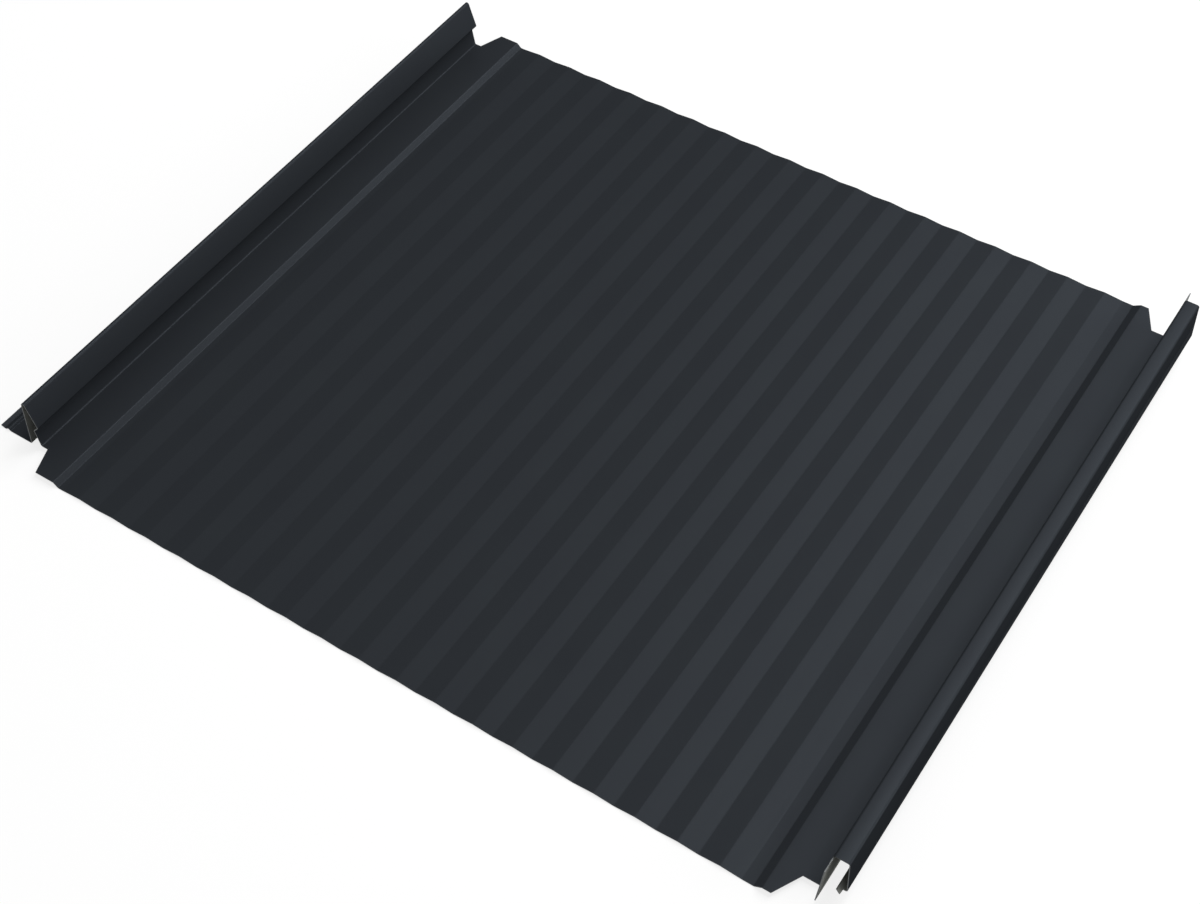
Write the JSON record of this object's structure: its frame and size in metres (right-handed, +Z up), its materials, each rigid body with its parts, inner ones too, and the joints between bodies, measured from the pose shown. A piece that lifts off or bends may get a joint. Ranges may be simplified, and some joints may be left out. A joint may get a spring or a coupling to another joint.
{
  "type": "standing seam roof panel",
  "caption": "Roof panel of thin painted steel with a shallow waved pan, a male rib with a nailing flange on one side and a hooked female rib that snaps over the next panel on the other.",
  "frame": {"origin": "middle of the underside of the panel's bounding box, at the level of the batten that the valleys and the nailing flange lie on", "axes": "+X across the panel from the male rib to the female rib, +Y along the ribs, +Z up, out of the painted side"},
  "size_m": [0.5076, 0.424, 0.0342],
  "materials": {
    "coated_steel": "matt graphite grey coil coating on galvanised steel, satin in the raking light"
  },
  "bodies": {
    "root": {"roof_panel": "coated_steel"}
  },
  "joints": []
}
